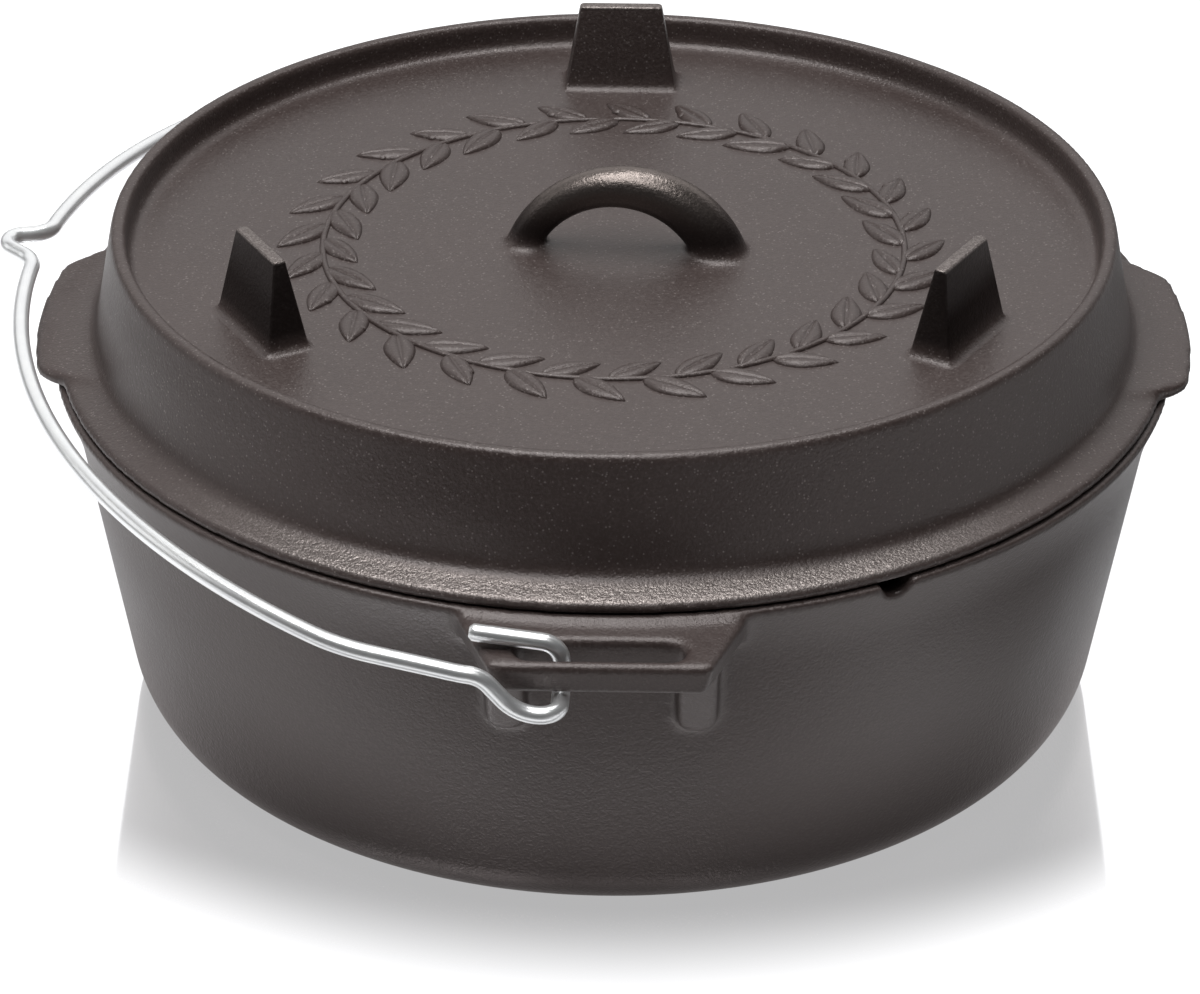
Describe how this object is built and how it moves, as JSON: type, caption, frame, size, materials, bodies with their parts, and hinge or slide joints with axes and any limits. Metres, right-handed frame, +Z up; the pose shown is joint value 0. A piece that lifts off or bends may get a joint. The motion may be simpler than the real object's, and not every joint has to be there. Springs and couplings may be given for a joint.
{
  "type": "camp dutch oven",
  "caption": "Round cast-iron camp oven with slotted bail ears and a probe notch, a footed lid with side grips, raised edge and loop handle, and a hooked wire bail.",
  "frame": {"origin": "centre of the base's underside, on the ground", "axes": "+Z up; -Y towards the front bail ear; -X towards the side where the bail lies; side grips of the lid on -X and +X"},
  "size_m": [0.3285, 0.3596, 0.1545],
  "materials": {
    "pot_iron": "seasoned sand casting, satin",
    "lid_iron": "seasoned sand casting, satin",
    "bail_wire": "bright zinc plated wire"
  },
  "bodies": {
    "pot": {"pot": "pot_iron"},
    "lid": {"lid": "lid_iron"},
    "bail": {"bail": "bail_wire"}
  },
  "joints": [
    {"name": "lid_lift", "type": "slide", "parent": "pot", "child": "lid", "axis": [0, 0, 1], "range_m": [0, 0.045]},
    {"name": "bail_swing", "type": "hinge", "parent": "pot", "child": "bail", "pos_m": [-0.0034, 0, 0.08965], "axis": [0.0366, 0.9993, 0], "range_deg": [0, 94]}
  ]
}
